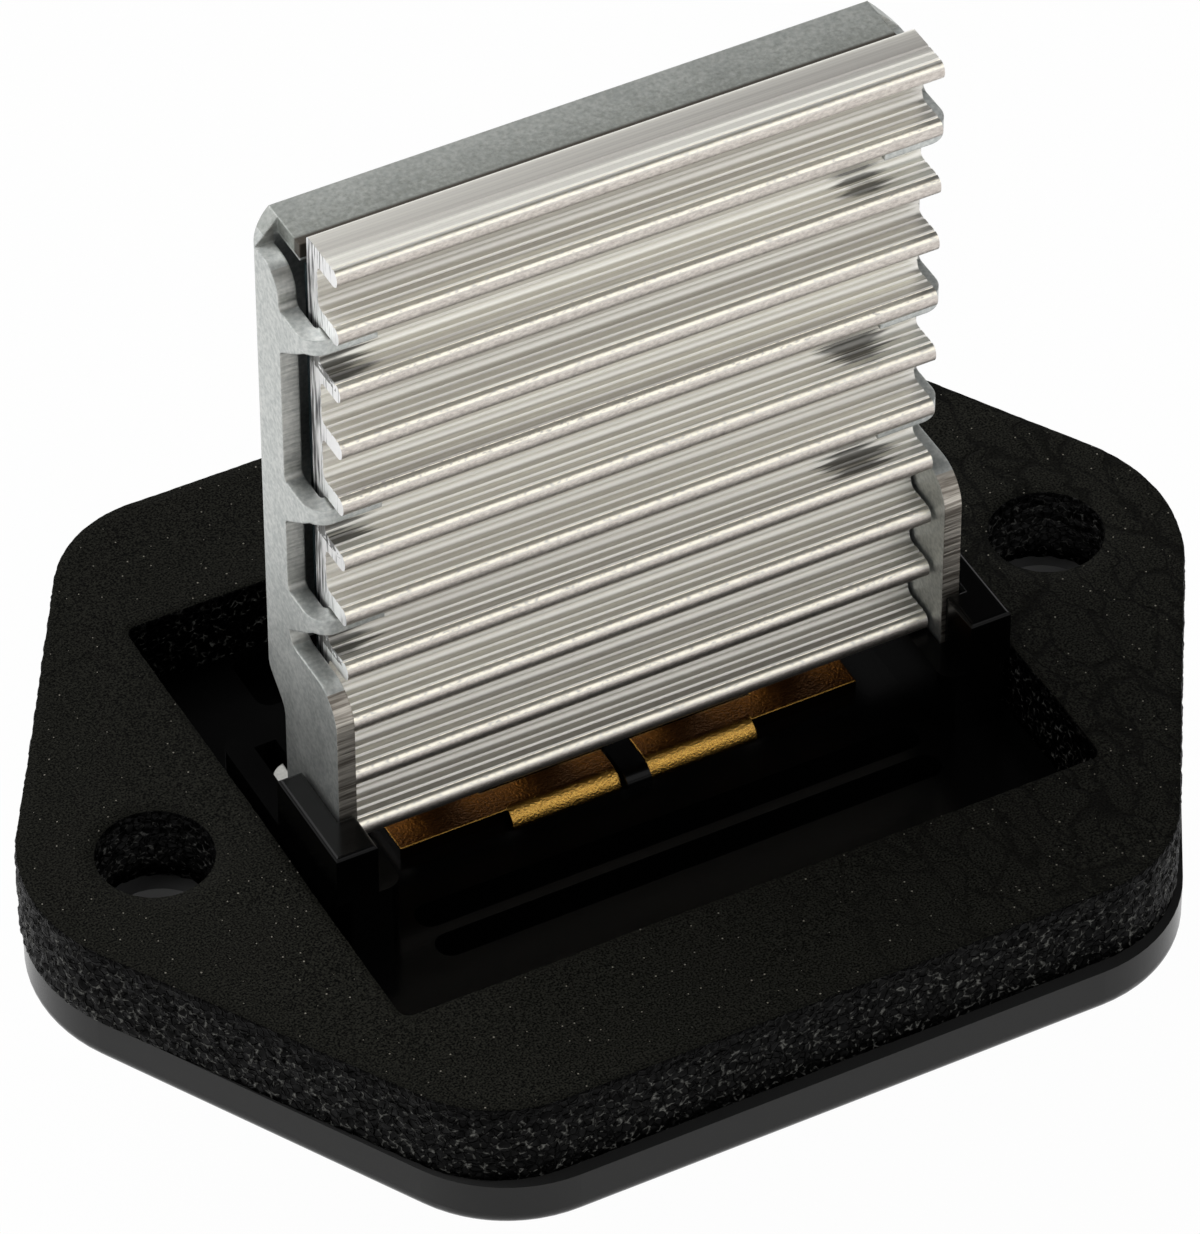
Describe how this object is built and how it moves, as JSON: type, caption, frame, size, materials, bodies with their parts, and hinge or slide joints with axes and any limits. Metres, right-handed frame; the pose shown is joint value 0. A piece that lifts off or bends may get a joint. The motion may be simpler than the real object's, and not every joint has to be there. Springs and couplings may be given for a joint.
{
  "type": "blower motor resistor",
  "caption": "Blower motor resistor: plastic flange with foam gasket, connector shroud, and a resistor card clamped in a finned heat sink and folded steel bracket.",
  "frame": {"origin": "midway between the two screw holes, on the flange face that the foam gasket lies on", "axes": "+X along the two screw holes, +Y towards the steel bracket's back, +Z from the flange to the heat sink's top; the fins face -Y and the connector faces -Z"},
  "size_m": [0.066, 0.0508, 0.0603],
  "materials": {
    "base_plastic": "moulded, slightly satin",
    "gasket_foam": "matt closed-cell foam, cut sides",
    "sink_aluminium": "bright as extruded, sawn ends",
    "zinc_plated_steel": "satin bright zinc plate",
    "card_ceramic": "glass glaze over printed tracks",
    "pad_silicone": "matt silicone",
    "tinned_spring": "tinned",
    "tinned_lead": "tinned",
    "terminal_brass": "rolled brass, cut edges"
  },
  "bodies": {
    "root": {"base_moulding": "base_plastic", "foam_gasket": "gasket_foam", "heat_sink": "sink_aluminium", "steel_bracket": "zinc_plated_steel", "resistor_card": "card_ceramic", "insulating_pad": "pad_silicone", "thermal_fuse": "tinned_spring", "card_lead_outer_right": "tinned_lead", "card_lead_outer_left": "tinned_lead", "card_lead_inner_right": "tinned_lead", "card_lead_inner_left": "tinned_lead", "terminal_front_right": "terminal_brass", "terminal_front_left": "terminal_brass", "terminal_rear_right": "terminal_brass", "terminal_rear_left": "terminal_brass"}
  },
  "joints": []
}
